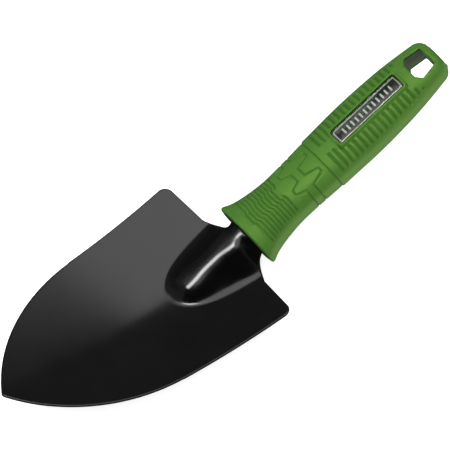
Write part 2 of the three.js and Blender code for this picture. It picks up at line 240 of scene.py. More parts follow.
def blade_outline():
    """Half of the blade's outline in plan, from the tip to the neck: x, half-width and outward normal."""
    rows = []
    centre_s = SIDE_LENGTH - POINT_RADIUS * SIDE_TAPER
    centre_y = HEEL_HALF_WIDTH - SIDE_TAPER * SIDE_LENGTH - POINT_RADIUS
    tip_s = centre_s + math.sqrt((POINT_RADIUS - TIP_RADIUS) ** 2 - centre_y ** 2)
    join_turn = math.atan2(-centre_y, tip_s - centre_s)
    side_turn = math.pi / 2 - math.atan(SIDE_TAPER)

    def add(s, y, normal_s, normal_y):
        rows.append((HEEL_X - s, y, -normal_s, normal_y))

    def add_arc(middle_s, middle_y, radius, first, last, count):
        for turn in np.linspace(first, last, count, endpoint=False):
            cos, sin = math.cos(turn), math.sin(turn)
            add(middle_s + radius * cos, middle_y + radius * sin, cos, sin)

    add_arc(tip_s, 0, TIP_RADIUS, 0, join_turn, OUTLINE_STEPS["tip"])
    add_arc(centre_s, centre_y, POINT_RADIUS, join_turn, side_turn, OUTLINE_STEPS["point"])
    shoulder_s = REAR_EDGE["from"] + SHOULDER_RADIUS
    for s in steps(centre_s + POINT_RADIUS * math.cos(side_turn), shoulder_s, OUTLINE_PITCH):
        add(s, HEEL_HALF_WIDTH - SIDE_TAPER * s, math.cos(side_turn), math.sin(side_turn))
    shoulder_y = HEEL_HALF_WIDTH - SIDE_TAPER * shoulder_s - SHOULDER_RADIUS
    add_arc(shoulder_s, shoulder_y, SHOULDER_RADIUS, side_turn, math.pi, OUTLINE_STEPS["shoulder"])
    run = np.array([REAR_EDGE["to"] - REAR_EDGE["from"], REAR_EDGE["inner"] - shoulder_y])
    run /= np.linalg.norm(run)
    for t in np.linspace(0, 1, OUTLINE_STEPS["rear"], endpoint=False):
        s = lerp(REAR_EDGE["from"], REAR_EDGE["to"], t)
        add(s, lerp(shoulder_y, REAR_EDGE["inner"], t), run[1], -run[0])
    fillet = {"s": HEEL_X - REAR_EDGE["to"], "y": REAR_EDGE["inner"] - NECK_RADIUS}
    power = 2 / NECK_FILLET_POWER
    for turn in np.linspace(FILLET_START, math.pi / 2, OUTLINE_STEPS["fillet"], endpoint=False):
        cos, sin = math.cos(turn), math.sin(turn)
        s = REAR_EDGE["to"] + fillet["s"] * (1 - cos ** power)
        y = REAR_EDGE["inner"] - fillet["y"] * sin ** power
        normal_s = -fillet["y"] * sin ** (power - 1) * cos
        normal_y = -fillet["s"] * cos ** (power - 1) * sin
        add(s, y, *unit(np.array([normal_s, normal_y])))
    fine = steps(0, TANG_FINE_END, OUTLINE_PITCH)
    for x in np.concatenate([fine, steps(TANG_FINE_END, TANG_END, TANG_PITCH), [TANG_END]]):
        rows.append((x, NECK_RADIUS, 0, 1))
    return np.array(rows)


def spine_z(x):
    """Height of the blade's middle line: straight through the neck, then a long arc up to the tip."""
    s = HEEL_X - x
    return HEEL_Z + HEEL_SLOPE * s + np.where(s > 0, s * s / (2 * LENGTH_RADIUS), 0)


def crown_power(x):
    """How flat the nose's top is across, over its length: flattest next to the neck and at the tip."""
    neck = (CROWN_POWER["neck"] - CROWN_POWER["middle"]) * smoothstep(x, *CROWN_NEAR_NECK)
    tip = (CROWN_POWER["tip"] - CROWN_POWER["middle"]) * (1 - smoothstep(x, *CROWN_NEAR_TIP))
    return CROWN_POWER["middle"] + neck + tip


def blade_z(x, y):
    """Height of the dish with the raised nose on it."""
    keel = KEEL_SLOPE * (np.sqrt(y * y + KEEL_ROUND ** 2) - KEEL_ROUND)
    dish = spine_z(x) + keel + y * y / (2 * DISH_RADIUS)
    q = np.clip((x - NOSE_X) / NOSE_LENGTH, NOSE_FLOOR, 1)
    half_width = NOSE_HALF_WIDTH * (1 - (1 - q) ** 2) ** NOSE_PLAN_POWER
    climb = smoothstep(x, NOSE_X, NOSE_X + NOSE_RISE_LENGTH) ** NOSE_RISE_POWER
    rise = (CROWN_Z - spine_z(x)) * climb
    across = np.minimum(np.abs(y) / half_width, 1)
    return dish + rise * (1 - across ** crown_power(x)) ** FLANK_POWER


def channel_section(radius, t):
    """The neck's and tang's half-round section: y and z of the point part t of the way down the side."""
    arc = radius * math.pi / 2
    run = np.abs(t) * (arc + NECK_WALL)
    turn = np.minimum(run, arc) / radius
    return np.sign(t) * radius * np.sin(turn), radius * np.cos(turn) - np.maximum(run - arc, 0)


def pressing_point(x, y):
    """Upper surface of the pressing over the point x, y of its plan."""
    x, y = np.broadcast_arrays(np.asarray(x, float), np.asarray(y, float))
    blend = smootherstep(x, HEEL_X, NECK_START)
    easing = np.clip(1 - (x - HEEL_X) / -HEEL_X, 0, 1)
    reference = NECK_RADIUS + (REAR_EDGE["inner"] - NECK_RADIUS) * easing ** 3
    radius = lerp(NECK_RADIUS, TANG_RADIUS, smoothstep(x, *TANG_TAPER))
    channel_y, channel_z = channel_section(radius, y / reference)
    z = lerp(blade_z(x, y), channel_z, blend)
    return np.stack([x, lerp(y, channel_y, blend ** 2), z], axis=-1)


def pressing_normal(x, y):
    along = pressing_point(x + NORMAL_STEP, y) - pressing_point(x - NORMAL_STEP, y)
    across = pressing_point(x, y + NORMAL_STEP) - pressing_point(x, y - NORMAL_STEP)
    return unit(np.cross(along, across))


def make_blade():
    outline = blade_outline()
    x = outline[:, 0] - EDGE_RADIUS * outline[:, 2]
    half = np.maximum(outline[:, 1] - EDGE_RADIUS * outline[:, 3], 0)
    u = np.linspace(-1, 1, BLADE_COLUMNS + 1)
    plan_x = x[:, None] + 0 * u
    plan_y = half[:, None] * u
    upper = pressing_point(plan_x, plan_y)
    normal = pressing_normal(plan_x, plan_y)
    lower = upper - SHEET * normal
    turns = np.pi * np.arange(1, EDGE_STEPS)[:, None] / EDGE_STEPS
    rims = []
    for column, side in ((-1, 1), (0, -1)):
        up = normal[:, column]
        middle = upper[:, column] - EDGE_RADIUS * up
        tangent = np.gradient(middle, axis=0)
        tangent[0] = (0, side, 0)
        outward = unit(np.cross(tangent, up)) * -side
        arc = np.cos(turns) * up[:, None] + np.sin(turns) * outward[:, None]
        rims.append(middle[:, None] + EDGE_RADIUS * arc)
    left_rim, right_rim = rims
    rings = np.concatenate([upper, left_rim, lower[:, ::-1], right_rim[:, ::-1]], axis=1)
    blade = solid("blade_fine", rings, BLADE_WELD)
    boolean(blade, cylinder(LOCK_HOLE_RADIUS, LOCK_HOLE_X, 0, CUT_REACH))
    shade_by_angle(blade, CREASE["blade"])
    return blade


def cylinder(radius, x, low, high, sides=48):
    """An upright cylinder on the middle line at x."""
    turns = 2 * np.pi * np.arange(sides) / sides
    circle = [x + radius * np.cos(turns), radius * np.sin(turns)]
    rings = [np.stack([*circle, 0 * turns + z], axis=1) for z in (low, high)]
    return solid("pin", rings)


# ---- handle --------
HANDLE_LENGTH = 137.2
LIP_X = -1.25  # where the green lip starts
LIP_ROUND = 1.1
LIP_STEPS = 6
SKIN = 2.2
SECTION_POWER = 2.2
TAIL_LENGTH = 6
TAIL_ROUND = (6, 3.6)  # how much narrower and lower the handle gets over the tail's length
TAIL_STEPS = {"sleeve": 16, "inside": 8, "core": 12}
UNDERSIDE = 11.65  # the underside stays this close to the axis, so that the lip lies flat on the bench
KNOT_STEPS = 24
# x, and the handle's half-width or half-height there without its relief
HALF_WIDTHS = [(-1.4, 20.2), (0.3, 20.85), (5.4, 18.5), (15.2, 16.2), (27.4, 15.1), (43.7, 15.8), (61, 17.0),
               (81.4, 17.6), (99.7, 17.1), (114, 16.0), (130.2, 13.8), (HANDLE_LENGTH, 12.6)]
HALF_HEIGHTS = [(-1.4, 12.9), (0.3, 13.35), (5.4, 12.5), (27.4, 11.3), (52.9, 10.6), (81.4, 10.2),
                (112, 9.3), (130.2, 8.47), (HANDLE_LENGTH, 8.17)]
INNER_ROWS = {"first": LIP_X + 1, "pitch": 5}
CORE_ROWS = {"first": 1, "pitch": 1.6}
CORE_BEVEL = 0.25
TANG_CAVITY = {"start": -6, "pitch": 1.0, "rear_pitch": 5, "columns": 61, "side_gap": 0.9 * GAP}

HOLE = [(120.5, 4.6), (122.9, 7.7), (132.4, 6.1)]  # x and half-width at its front, middle and rear
HOLE_GROWTH = [(-1, 0.5), (-0.5, 1), (1, 1)]  # how each of them moves as the hole gets wider
HOLE_CORNER = 0.8
HOLE_DRAFT = 0.05  # how much wider the hole is per mm of height from its middle
HOLE_EDGE = {"drop": 0.55, "reach": 0.9}  # the sleeve's surface dips towards the hole's rim

BADGE_X = 90.1
BADGE_LENGTH = 45.0
BADGE_WIDTH = 9.1
BADGE_CORNER = 1.2
BADGE_PITCH = math.radians(1.5)
FRAME_MARGIN = 1.5
FRAME_TOP = 10.9
FRAME_FALL = {"corner": 1.8, "slope": 2.2, "power": 1.5, "start": -0.15, "reach": 1.2, "blend": 0.25}
SEAT_DEPTH = 2.4
SEAT_MARGIN = 0.2
SEAT_BASE = 6  # how deep under the frame's top the core's seat reaches
SEAT_OPENING = -1.5  # the cut in the sleeve ends this far above the frame's top
LABEL_THICKNESS = 0.5
LABEL_EDGE = [(0.08, 0), (0, 0.08), (0, -0.1), (0.03, -0.04), (0.1, 0)]  # the last three from its top
DOME_THICKNESS = 1.0
DOME_ROLL = 0.45  # radius of the lens's edge
DOME_STEPS = {"edge": 7, "top": 14}
DOME_MIDDLE = 0.1  # half-width of the strip that closes the lens's top
DOME_CROWN = 0.06  # how far the lens falls off half its width away from its highest line
DOME_PEAK_Y = -2.2
SMALLEST_CORNER = 0.05
FOIL = {"inset": 0.75, "width": 0.4, "corner": 1.6, "height": 0.05, "sink": 0.05, "edge": 0.05,
        "edge_height": 0.02, "bars": 12, "pitch": 3.0, "bar_width": 1.1, "bar_length": 3.5}


def smooth_outline(points):
    """A smooth curve through points of (x, value), as a function of x."""
    knots = np.array(points, float)
    padded = np.vstack([2 * knots[0] - knots[1], knots, 2 * knots[-1] - knots[-2]])
    fine = []
    for p0, p1, p2, p3 in zip(padded, padded[1:], padded[2:], padded[3:]):
        square = 2 * p0 - 5 * p1 + 4 * p2 - p3
        cube = 3 * p1 - p0 - 3 * p2 + p3
        for t in np.linspace(0, 1, KNOT_STEPS, endpoint=False):
            fine.append(0.5 * (2 * p1 + (p2 - p0) * t + square * t ** 2 + cube * t ** 3))
    fine.append(knots[-1])
    fine = np.array(fine)
    return lambda x: np.interp(x, fine[:, 0], fine[:, 1])


half_width_at = smooth_outline(HALF_WIDTHS)
half_height_at = smooth_outline(HALF_HEIGHTS)


def section_size(x, inset):
    """Half-width and half-height of the handle's section, moved inwards by an inset."""
    q = np.maximum(0, (x - (HANDLE_LENGTH - inset - TAIL_LENGTH)) / TAIL_LENGTH)
    fall = 1 - np.sqrt(np.maximum(0, 1 - q * q))
    half_width = half_width_at(x) - inset - TAIL_ROUND[0] * fall
    half_height = half_height_at(x) - inset - TAIL_ROUND[1] * fall
    return half_width, half_height


# columns round the handle: across the flat top by width, and round the sides by angle
FLAT_HALF = 9.0
NOMINAL_HALF = 17.0


def ring_columns(flat_pitch, side_steps):
    """Nominal y of each column over the top of the handle, from the left side to the right."""
    flat = steps(-FLAT_HALF, FLAT_HALF, flat_pitch)
    flat = np.append(flat, FLAT_HALF)
    reach = math.acos((FLAT_HALF / NOMINAL_HALF) ** (SECTION_POWER / 2))
    turns = np.linspace(0, reach, side_steps, endpoint=False)
    side = NOMINAL_HALF * np.cos(turns) ** (2 / SECTION_POWER)
    return np.concatenate([side, flat[::-1], -side[::-1]])


TOP_COLUMNS = ring_columns(flat_pitch=0.36, side_steps=20)
UNDER_COLUMNS = ring_columns(flat_pitch=0.6, side_steps=14)


def section_ring(x, inset, nominal):
    """Half a ring at x: y of each nominal column, and its height above the middle plane."""
    a, b = section_size(x, inset)
    size = np.abs(nominal)
    side = FLAT_HALF + (size - FLAT_HALF) * (a - FLAT_HALF) / (NOMINAL_HALF - FLAT_HALF)
    y = np.sign(nominal) * np.where(size <= FLAT_HALF, size, side)
    z = b * np.maximum(0, 1 - np.minimum(1, np.abs(y / a)) ** SECTION_POWER) ** (1 / SECTION_POWER)
    return y, z


def full_ring(x, inset):
    """x, y, z of a whole ring: over the top from left to right, then under from right to left."""
    top_y, top_z = section_ring(x, inset, TOP_COLUMNS)
    low_y, low_z = section_ring(x, inset, UNDER_COLUMNS[1:-1])
    low_z = low_z * min(1, (UNDERSIDE - inset) / section_size(x, inset)[1])
    y = np.concatenate([top_y, low_y[::-1]])
    z = np.concatenate([top_z, -low_z[::-1]])
    return np.stack([0 * y + x, y, z], axis=1)


# relief of the grip
RIB_END_Z = 5.1  # ribs stop this high above the mould's parting plane
RIB_END_FADE = 0.9
FRONT_ZONE = (5.4, 27.2)
FRONT_RIBS = {"first": 6.6, "pitch": 2.28, "count": 10, "depth": 0.55, "half": 0.82}
FRONT_PANEL = {"depth": 0.25, "edge": 0.3, "end_fade": 0.5}
LAST_FRONT_RIB = (2.6, 3.4)  # the last front rib is left out in the middle of the handle
SHIFT = {"flat": 3.2, "end": 4.9, "by": -1.0, "fade": 2.5}
STAR = {"x": 39.8, "half": 2.5, "centre_y": 6.4, "front": 31.9, "rear": 50.3, "tip": 1.45, "root": 3.5,
        "depth": 0.5, "line": 0.66}
STEP_X = 53.75
STEP = {"rise": 0.25, "edge": 0.3, "fade": 7, "groove": 0.25, "groove_half": 0.6}
REAR_RIBS = {"first": 59.1, "pitch": 3.545, "count": 18, "depth": 0.8, "half": 0.95, "wall": 0.75,
             "rim": 0.15, "frame_gap": 0.9, "last_inset": 2.2, "end_slope": 1.2}
REAR_RIB_FREE = 3  # ribs ahead of the badge's frame, which stop short of the middle
REAR_RIB_MIDDLE = 2.8
REAR_RIB_LAST = 2  # ribs at the tail end, which are shorter
ZONE_MARGIN = 1
STAR_MARGIN = 3
ROW_PITCH = {"lip": 0.5, "panel_edge": 0.15, "plain": 0.4, "star": 0.26, "behind_step": 0.5, "tail": 0.32}
ROWS_PER_RIB = {"front": 8, "rear": 11}
FRONT_ROWS_START = 5.5  # the rows follow the front ribs from here

# how the grip is coloured: painted shade in its grooves, and a painted sheen that makes its smooth sides
# lighter
SKIN_ZONE = (0.86, 0.91)  # share of the section's size where the outer skin starts
SHADED_SIDE = 0.22  # a groove's painted shade lies a little towards its front, on the wall turned away from the key light
# how strongly each kind of groove gets painted shade
GROOVE_SHADE_SHARE = {"front": 0.65, "star": 1, "rear": 0.55, "step": 2}
GROOVE_SHADE_FULL = 0.55  # depth of a groove that gets the full painted shade
STEP_REACH = 0.5
# heights over which the painted sheen on the grip's smooth sides fades in
SHEEN_ZONE = (RIB_END_Z - 2.6, RIB_END_Z + 0.6)
TAIL_COLOUR = (108, 114)  # the core's painted shade gives way to its lighter colour behind this


def front_shift(y):
    """How far the front ribs are set back towards the blade in the middle of the handle."""
    share = np.clip((np.abs(y) - SHIFT["flat"]) / (SHIFT["end"] - SHIFT["flat"]), 0, 1)
    return SHIFT["by"] * (1 - share)


def front_warp(x, y):
    """x with the front rows of the mesh set back in the middle, so that they follow the ribs."""
    start, end = FRONT_ZONE
    inside = smoothstep(x, start - SHIFT["fade"], start) * (1 - smoothstep(x, end, end + SHIFT["fade"]))
    return x + front_shift(y) * inside


def groove(distance, half_width):
    """Depth share of a round-bottomed groove at a distance from its middle line."""
    round_bottom = 0.5 + 0.5 * np.cos(np.pi * distance / half_width)
    return np.where(np.abs(distance) < half_width, round_bottom, 0)


def front_panel(x_row, height):
    """The shallow panel that the front ribs stand in."""
    start, end = FRONT_ZONE
    panel = smoothstep(x_row, start - FRONT_PANEL["edge"], start)
    panel = panel * (1 - smoothstep(x_row, end, end + FRONT_PANEL["edge"]))
    side = smoothstep(height, RIB_END_Z - FRONT_PANEL["end_fade"], RIB_END_Z)
    return -FRONT_PANEL["depth"] * panel * side


def nearest_rib(x, ribs):
    """Which of the ribs is nearest, and how far x is past its middle."""
    index = np.clip(np.round((x - ribs["first"]) / ribs["pitch"]), 0, ribs["count"] - 1)
    return index, x - (ribs["first"] + ribs["pitch"] * index)


def ribs_end(ribs):
    return ribs["first"] + ribs["pitch"] * (ribs["count"] - 0.5)


def front_relief(x_row, y, height):
    """Front ribs, by the row's own x, which already follows the shift."""
    index, past = nearest_rib(x_row, FRONT_RIBS)
    depth = groove(past, FRONT_RIBS["half"])
    last = index == FRONT_RIBS["count"] - 1
    depth = np.where(last, depth * smoothstep(np.abs(y), *LAST_FRONT_RIB), depth)
    return -FRONT_RIBS["depth"] * depth * smoothstep(height, RIB_END_Z, RIB_END_Z + RIB_END_FADE)


def polygon_distance(px, py, corners):
    """Signed distance from points to a convex polygon: negative inside."""
    nearest = np.full(np.shape(px), np.inf)
    inside = np.ones(np.shape(px), bool)
    for (ax, ay), (bx, by) in zip(corners, corners[1:] + corners[:1]):
        ex, ey = bx - ax, by - ay
        t = np.clip(((px - ax) * ex + (py - ay) * ey) / (ex * ex + ey * ey), 0, 1)
        nearest = np.minimum(nearest, np.hypot(px - ax - t * ex, py - ay - t * ey))
        inside &= (px - ax) * ey - (py - ay) * ex <= 0
    return np.where(inside, -nearest, nearest)


def star_relief(x, y):
    """The fine line round the band across the handle and its two pointed bulges."""
    near, far = STAR["x"] - STAR["half"], STAR["x"] + STAR["half"]
    shape = np.abs(x - STAR["x"]) - STAR["half"]
    half = [(STAR["front"], STAR["tip"]), (near, STAR["root"]),
            (far, STAR["root"]), (STAR["rear"], STAR["tip"])]
    for centre in (-STAR["centre_y"], STAR["centre_y"]):
        corners = [(px, centre - py) for px, py in half] + [(px, centre + py) for px, py in reversed(half)]
        shape = np.minimum(shape, polygon_distance(x, y, corners))
    return -STAR["depth"] * np.maximum(0, 1 - np.abs(shape) / STAR["line"])


def step_relief(x):
    """The small step up to the palm's part of the grip, with a fine groove at its foot."""
    fade = np.exp(-np.abs(x - STEP_X) / STEP["fade"])
    edge = 2 * smoothstep(x, STEP_X - STEP["edge"], STEP_X + STEP["edge"]) - 1
    foot = groove(x - STEP_X + STEP["edge"], STEP["groove_half"])
    return STEP["rise"] * edge * fade - STEP["groove"] * foot


def rear_relief(x, y, height, on_top):
    """The short grooves each side of the badge, on the top, and of the middle, on the underside."""
    index, past = nearest_rib(x, REAR_RIBS)
    first_short = REAR_RIBS["count"] - REAR_RIB_LAST
    half = REAR_RIBS["half"]
    beside_frame = BADGE_WIDTH / 2 + FRAME_MARGIN + REAR_RIBS["frame_gap"]
    inner = np.where(on_top & (index >= REAR_RIB_FREE), beside_frame, REAR_RIB_MIDDLE)
    shorter = REAR_RIBS["last_inset"] * (index - first_short + 1)
    inner = np.where(on_top & (index >= first_short), inner + shorter, inner)
    past_end = half - np.minimum(np.abs(y) - inner, (height - RIB_END_Z) * REAR_RIBS["end_slope"])
    distance = np.hypot(past, np.maximum(past_end, 0))
    wall = smoothstep(distance, half - REAR_RIBS["wall"], half + REAR_RIBS["rim"])
    return -REAR_RIBS["depth"] * (1 - wall)


def relief(x_row, x, y, height, on_top):
    """How far the grip's surface stands out at a point, from its pattern alone."""
    front = (x_row > FRONT_ZONE[0] - ZONE_MARGIN) & (x_row < FRONT_ZONE[1] + ZONE_MARGIN)
    star = (x_row > STAR["front"] - STAR_MARGIN) & (x_row < STEP_X)
    lift = np.where(front, front_relief(x_row, y, height), 0)
    lift = lift + np.where(star, star_relief(x, y), 0)
    return lift + np.where(x_row > STEP_X, rear_relief(x, y, height, on_top), 0)


def badge_plane(x):
    """Height of the badge frame's top, which is tilted a little against the handle."""
    return FRAME_TOP - (x - BADGE_X) * math.tan(BADGE_PITCH)


def rectangle_distance(x, y, half_x, half_y, corner):
    """Signed distance from points to a rectangle with round corners: negative inside."""
    qx = np.abs(x) - half_x + corner
    qy = np.abs(y) - half_y + corner
    return np.hypot(np.maximum(qx, 0), np.maximum(qy, 0)) + np.minimum(np.maximum(qx, qy), 0) - corner


def hole_corners(grow):
    """The hang hole's six corners, from the front round its left side to the rear and back."""
    left = [(x + along * grow, y + across * grow) for (x, y), (along, across) in zip(HOLE, HOLE_GROWTH)]
    return left + [(x, -y) for x, y in reversed(left)]


def tail_rows(end, count):
    """Rows over the rounded tail of a shell that ends at end."""
    return end - TAIL_LENGTH * np.cos(np.linspace(0, math.pi / 2, count))


def sleeve_rows():
    """Where the rows of the grip's mesh stand: closest together where its relief is finest."""
    edge_start = FRONT_ROWS_START - 4 * ROW_PITCH["panel_edge"]
    rear_start = REAR_RIBS["first"] - REAR_RIBS["pitch"] / 2
    zones = [
        (LIP_X + LIP_ROUND, ROW_PITCH["lip"]),
        (edge_start, ROW_PITCH["panel_edge"]),
        (FRONT_ROWS_START, FRONT_RIBS["pitch"] / ROWS_PER_RIB["front"]),
        (ribs_end(FRONT_RIBS), ROW_PITCH["plain"]),
        (STAR["front"] - ZONE_MARGIN, ROW_PITCH["star"]),
        (STEP_X + ZONE_MARGIN, ROW_PITCH["behind_step"]),
        (rear_start, REAR_RIBS["pitch"] / ROWS_PER_RIB["rear"]),
        (ribs_end(REAR_RIBS), ROW_PITCH["tail"]),
    ]
    ends = [start for start, pitch in zones[1:]] + [HANDLE_LENGTH - TAIL_LENGTH]
    rows = [steps(start, end, pitch) for (start, pitch), end in zip(zones, ends)]
    return np.concatenate([*rows, tail_rows(HANDLE_LENGTH, TAIL_STEPS["sleeve"])])


def sleeve_surface(x_row):
    """Outer skin of the grip at one row of the mesh, with its relief."""
    ring = full_ring(x_row, 0)
    top = np.arange(len(ring)) < len(TOP_COLUMNS)
    y = ring[:, 1]
    ring[:, 0] = front_warp(x_row, y)
    height = np.abs(ring[:, 2])
    x = ring[:, 0]
    a, b = section_size(x, 0)
    share = np.clip(np.abs(y / a), 0, 1)
    slope_y = np.sign(y) * share ** (SECTION_POWER - 1) / a
    slope_z = np.sign(ring[:, 2]) * np.clip(height / b, 0, 1) ** (SECTION_POWER - 1) / b
    normal = unit(np.stack([0 * y, slope_y, slope_z], axis=1) + NUDGE)
    lift = step_relief(x) + front_panel(x_row, height) + relief(x_row, x, y, height, top)
    edge = np.maximum(polygon_distance(x, y, hole_corners(0)[::-1]) - HOLE_DRAFT * height, 0)
    lift = lift - HOLE_EDGE["drop"] * np.maximum(0, 1 - edge / HOLE_EDGE["reach"]) ** 2
    ring += normal * lift[:, None]
    half_length, half_width = BADGE_LENGTH / 2 + FRAME_MARGIN, BADGE_WIDTH / 2 + FRAME_MARGIN
    margin = rectangle_distance(x - BADGE_X, y, half_length, half_width, FRAME_FALL["corner"])
    fall = FRAME_FALL["slope"] * np.maximum(0, margin - FRAME_FALL["start"]) ** FRAME_FALL["power"]
    raised = smooth_max(ring[:, 2], badge_plane(x) - fall, FRAME_FALL["blend"])
    ring[:, 2] = np.where(top & (margin < FRAME_FALL["reach"]), raised, ring[:, 2])
    return ring


def lip_rings():
    """The sleeve's rounded front lip, from its inner edge out to the first full ring."""
    rings = []
    for turn in np.linspace(0, math.pi / 2, LIP_STEPS, endpoint=False):
        ring = full_ring(LIP_X + LIP_ROUND, LIP_ROUND * (1 - math.sin(turn)))
        ring[:, 0] = LIP_X + LIP_ROUND * (1 - math.cos(turn))
        rings.append(ring)
    return rings


def tail_cap(ring, count):
    """Rings that close a flat end, drawn in towards its middle."""
    middle = ring.mean(axis=0)
    return [lerp(ring, middle, share) for share in np.linspace(0, 1, count + 1)[1:-1]]


def make_sleeve():
    outer = lip_rings() + [sleeve_surface(x) for x in sleeve_rows()]
    outer += tail_cap(outer[-1], count=5)
    depth = SKIN - GAP
    inner_end = HANDLE_LENGTH - depth
    inner_x = np.concatenate([[LIP_X],
                              steps(INNER_ROWS["first"], inner_end - TAIL_LENGTH, INNER_ROWS["pitch"]),
                              tail_rows(inner_end, TAIL_STEPS["inside"])])
    inner = [full_ring(x, depth) for x in inner_x]
    inner += tail_cap(inner[-1], count=3)
    sleeve = solid("grip_sleeve_fine", inner[::-1] + outer)
    boolean(sleeve, hole_tool())
    boolean(sleeve, badge_block(SEAT_MARGIN + GAP, SEAT_BASE, SEAT_OPENING))
    shade_by_angle(sleeve, CREASE["sleeve"])
    paint_sleeve(sleeve)
    return sleeve


def paint_sleeve(sleeve):
    """Paints shade into the grooves and a sheen onto the smooth sides, as values for the material."""
    x, y, z = to_handle(sleeve)
    height = np.abs(z)
    a, b = section_size(x, 0)
    radius = (np.abs(y / a) ** SECTION_POWER + np.abs(z / b) ** SECTION_POWER) ** (1 / SECTION_POWER)
    outside = smoothstep(radius, *SKIN_ZONE)
    step = np.minimum(step_relief(x) * (np.abs(x - STEP_X) < STEP_REACH), 0)
    shaded = x + SHADED_SIDE
    depth = -relief(shaded - front_shift(y), shaded, y, height, z > 0)
    share = np.where(x > STEP_X, GROOVE_SHADE_SHARE["rear"], GROOVE_SHADE_SHARE["star"])
    share = np.where(x < FRONT_ZONE[1] + ZONE_MARGIN, GROOVE_SHADE_SHARE["front"], share)
    depth = depth * share - GROOVE_SHADE_SHARE["step"] * step
    # painted shade: darker where the grooves and the step's foot lie deep
    paint(sleeve, "cavity", np.clip(depth / GROOVE_SHADE_FULL, 0, 1) * outside)
    # painted sheen: the smooth sides below the ribs are coloured lighter and yellower
    paint(sleeve, "side", (1 - smoothstep(height, *SHEEN_ZONE)) * outside)


def rounded_polygon(corners, radius, arc_steps=5):
    """A convex outline with its corners rounded off."""
    result = []
    corners = [np.array(c, float) for c in corners]
    for before, corner, after in zip(corners[-1:] + corners[:-1], corners, corners[1:] + corners[:1]):
        to_before = unit(before - corner)
        to_after = unit(after - corner)
        half_angle = math.acos(np.clip(to_before @ to_after, -1, 1)) / 2
        centre = corner + unit(to_before + to_after) * radius / math.sin(half_angle)
        first = corner + to_before * radius / math.tan(half_angle) - centre
        last = corner + to_after * radius / math.tan(half_angle) - centre
        for t in np.linspace(0, 1, arc_steps + 1):
            result.append(centre + unit(lerp(first, last, t)) * radius)
    return np.array(result)


def hole_tool():
    """The hang hole's shape: a hexagon with round corners, a little wider at both faces."""
    rings = []
    for z in (-CUT_REACH, 0, CUT_REACH):
        outline = rounded_polygon(hole_corners(HOLE_DRAFT * abs(z)), HOLE_CORNER)
        rings.append(np.column_stack([outline, np.full(len(outline), z)]))
    return solid("hole", rings)


def on_badge_plane(outline, height, below):
    """A ring at a height over a plate whose underside is at a depth below the badge frame's top."""
    p = np.column_stack([outline, height + np.zeros(len(outline))]) - (0, 0, below)
    cos, sin = math.cos(BADGE_PITCH), math.sin(BADGE_PITCH)
    x = p[:, 0] * cos + p[:, 2] * sin + BADGE_X
    z = -p[:, 0] * sin + p[:, 2] * cos + FRAME_TOP
    return np.stack([x, p[:, 1], z], axis=1)


def rounded_rectangle(length, width, corner):
    x, y = length / 2, width / 2
    return rounded_polygon([(x, y), (-x, y), (-x, -y), (x, -y)], max(corner, SMALLEST_CORNER), arc_steps=6)


def badge_outline(inset, corner):
    return rounded_rectangle(BADGE_LENGTH - 2 * inset, BADGE_WIDTH - 2 * inset, corner - inset)


def plate(name, length, width, corner, levels, below, middle=0):
    """A plate on the badge's plane: levels are pairs of inset and height, from its underside up."""
    rings = []
    for inset, height in levels:
        outline = rounded_rectangle(length - 2 * inset, width - 2 * inset, corner - inset)
        rings.append(on_badge_plane(outline + (middle, 0), height, below))
    return solid(name, rings)


def badge_block(grow, low, high):
    """The badge's outline grown by grow, from low up to high, both measured down from the frame's top."""
    levels = [(0, 0), (0, low - high)]
    length, width = BADGE_LENGTH + 2 * grow, BADGE_WIDTH + 2 * grow
    return plate("block", length, width, BADGE_CORNER + grow, levels, low)


def make_core():
    inner_end = HANDLE_LENGTH - SKIN
    rows = np.concatenate([[COLLAR_X + CORE_BEVEL],
                           steps(CORE_ROWS["first"], inner_end - TAIL_LENGTH, CORE_ROWS["pitch"]),
                           tail_rows(inner_end, TAIL_STEPS["core"])])
    front = full_ring(LIP_X, SKIN + CORE_BEVEL)
    front[:, 0] = COLLAR_X
    core = solid("handle_core_fine", [front] + [full_ring(x, SKIN) for x in rows])
    boolean(core, badge_block(SEAT_MARGIN, SEAT_BASE, SEAT_DEPTH), "UNION")
    boolean(core, badge_block(SEAT_MARGIN, SEAT_DEPTH, 0))
    boolean(core, tang_cavity())
    boolean(core, hole_tool())
    shade_by_angle(core, CREASE["core"])
    # painted shade: the core is dark ahead of the hang hole and turns to its lighter colour at the hole
    paint(core, "tail", smoothstep(to_handle(core)[0], *TAIL_COLOUR))
    return core


def tang_cavity():
    """The tang's own shape grown by the gap, less the plug that fills its locking hole."""
    end = TANG_END + GAP
    rows = np.concatenate([steps(TANG_CAVITY["start"], TANG_FINE_END, TANG_CAVITY["pitch"]),
                           steps(TANG_FINE_END, end, TANG_CAVITY["rear_pitch"]), [end]])
    u = np.linspace(-1, 1, TANG_CAVITY["columns"])
    rings = []
    for x in rows:
        y = (NECK_RADIUS + TANG_CAVITY["side_gap"]) * u
        upper = pressing_point(x, y)
        normal = pressing_normal(x, y)
        lower = upper - (SHEET + GAP) * normal
        rings.append(np.concatenate([upper + GAP * normal, lower[::-1]]))
    cavity = solid("cavity", rings)
    plug = cylinder(LOCK_HOLE_RADIUS - GAP, LOCK_HOLE_X, 0, CUT_REACH)
    return boolean(cavity, plug)


